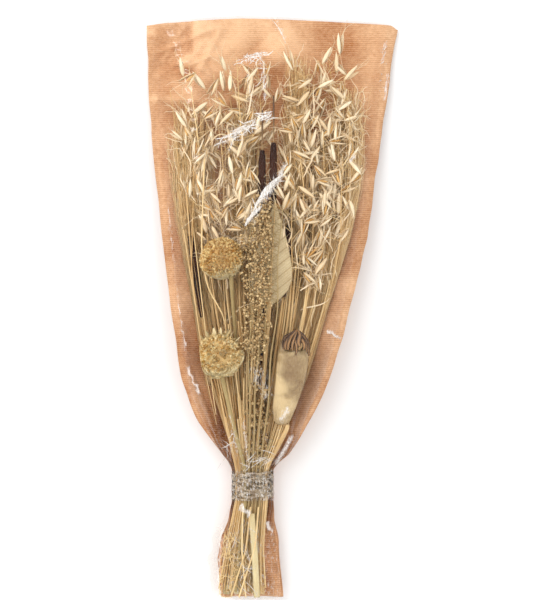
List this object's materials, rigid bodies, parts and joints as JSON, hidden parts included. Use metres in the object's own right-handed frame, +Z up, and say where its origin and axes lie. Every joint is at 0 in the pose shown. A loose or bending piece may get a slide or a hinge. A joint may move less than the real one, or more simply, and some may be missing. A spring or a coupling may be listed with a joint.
{
  "type": "dried flower bouquet",
  "caption": "Mixed dried bouquet of grain stalks, cattails, globe flowers, seed sprays and a palm leaf, in a kraft paper and clear film sleeve tied at the neck.",
  "frame": {"origin": "on the surface the bouquet lies on, under the middle of its bounding box", "axes": "+Y along the bouquet from the cut ends to the flower heads, +X to the right when seen from above with the heads up, +Z up out of the surface"},
  "size_m": [0.2601, 0.5999, 0.0864],
  "materials": {
    "kraft": "ribbed matte kraft paper",
    "clear_film": "clear glossy film",
    "clear_tape": "clear glossy tape",
    "twine": "rough natural fibre",
    "oat_straw": "dry papery straw",
    "grass": "fine dry hairs",
    "cattail_felt": "dense brown felt",
    "seed_capsules": "dry matte seed capsules",
    "dry_blade": "dry leaf",
    "globe_florets": "packed dry florets",
    "palm_leaf": "pleated dry leaf, faint sheen",
    "spathe_leather": "leathery dry leaf, faint sheen",
    "dark_bract": "dry bract with dark edges"
  },
  "bodies": {
    "root": {"cattail_01": "cattail_felt", "cattail_02": "cattail_felt", "cattail_03": "cattail_felt", "cattail_04": "cattail_felt", "cattail_05": "cattail_felt", "clear_film_front": "clear_film", "grass_plume_01": "grass", "grass_plume_02": "grass", "grass_plume_03": "grass", "grass_plume_04": "grass", "grass_plume_05": "grass", "kraft_paper_back": "kraft", "leaf_blade_01": "dry_blade", "leaf_blade_02": "dry_blade", "leaf_blade_03": "dry_blade", "leaf_blade_04": "dry_blade", "leaf_blade_05": "dry_blade", "leaf_blade_06": "dry_blade", "leaf_blade_07": "dry_blade", "lower_globe_head": "globe_florets", "lower_globe_straw": "oat_straw", "neck_tape": "clear_tape", "neck_twine": "twine", "oat_stalk_01": "oat_straw", "oat_stalk_02": "oat_straw", "oat_stalk_03": "oat_straw", "oat_stalk_04": "oat_straw", "oat_stalk_05": "oat_straw", "oat_stalk_06": "oat_straw", "oat_stalk_07": "oat_straw", "oat_stalk_08": "oat_straw", "oat_stalk_09": "oat_straw", "oat_stalk_10": "oat_straw", "oat_stalk_11": "oat_straw", "oat_stalk_12": "oat_straw", "oat_stalk_13": "oat_straw", "oat_stalk_14": "oat_straw", "oat_stalk_15": "oat_straw", "oat_stalk_16": "oat_straw", "oat_stalk_17": "oat_straw", "palm_spear_leaf": "palm_leaf", "palm_stalk": "dry_blade", "seed_spray_01": "seed_capsules", "seed_spray_02": "seed_capsules", "seed_spray_03": "seed_capsules", "seed_spray_04": "seed_capsules", "seed_spray_05": "seed_capsules", "seed_spray_06": "seed_capsules", "spathe_bud_tip": "dark_bract", "spathe_leaf": "spathe_leather", "spathe_stalk": "dry_blade", "upper_globe_head": "globe_florets", "upper_globe_straw": "oat_straw"}
  },
  "joints": []
}
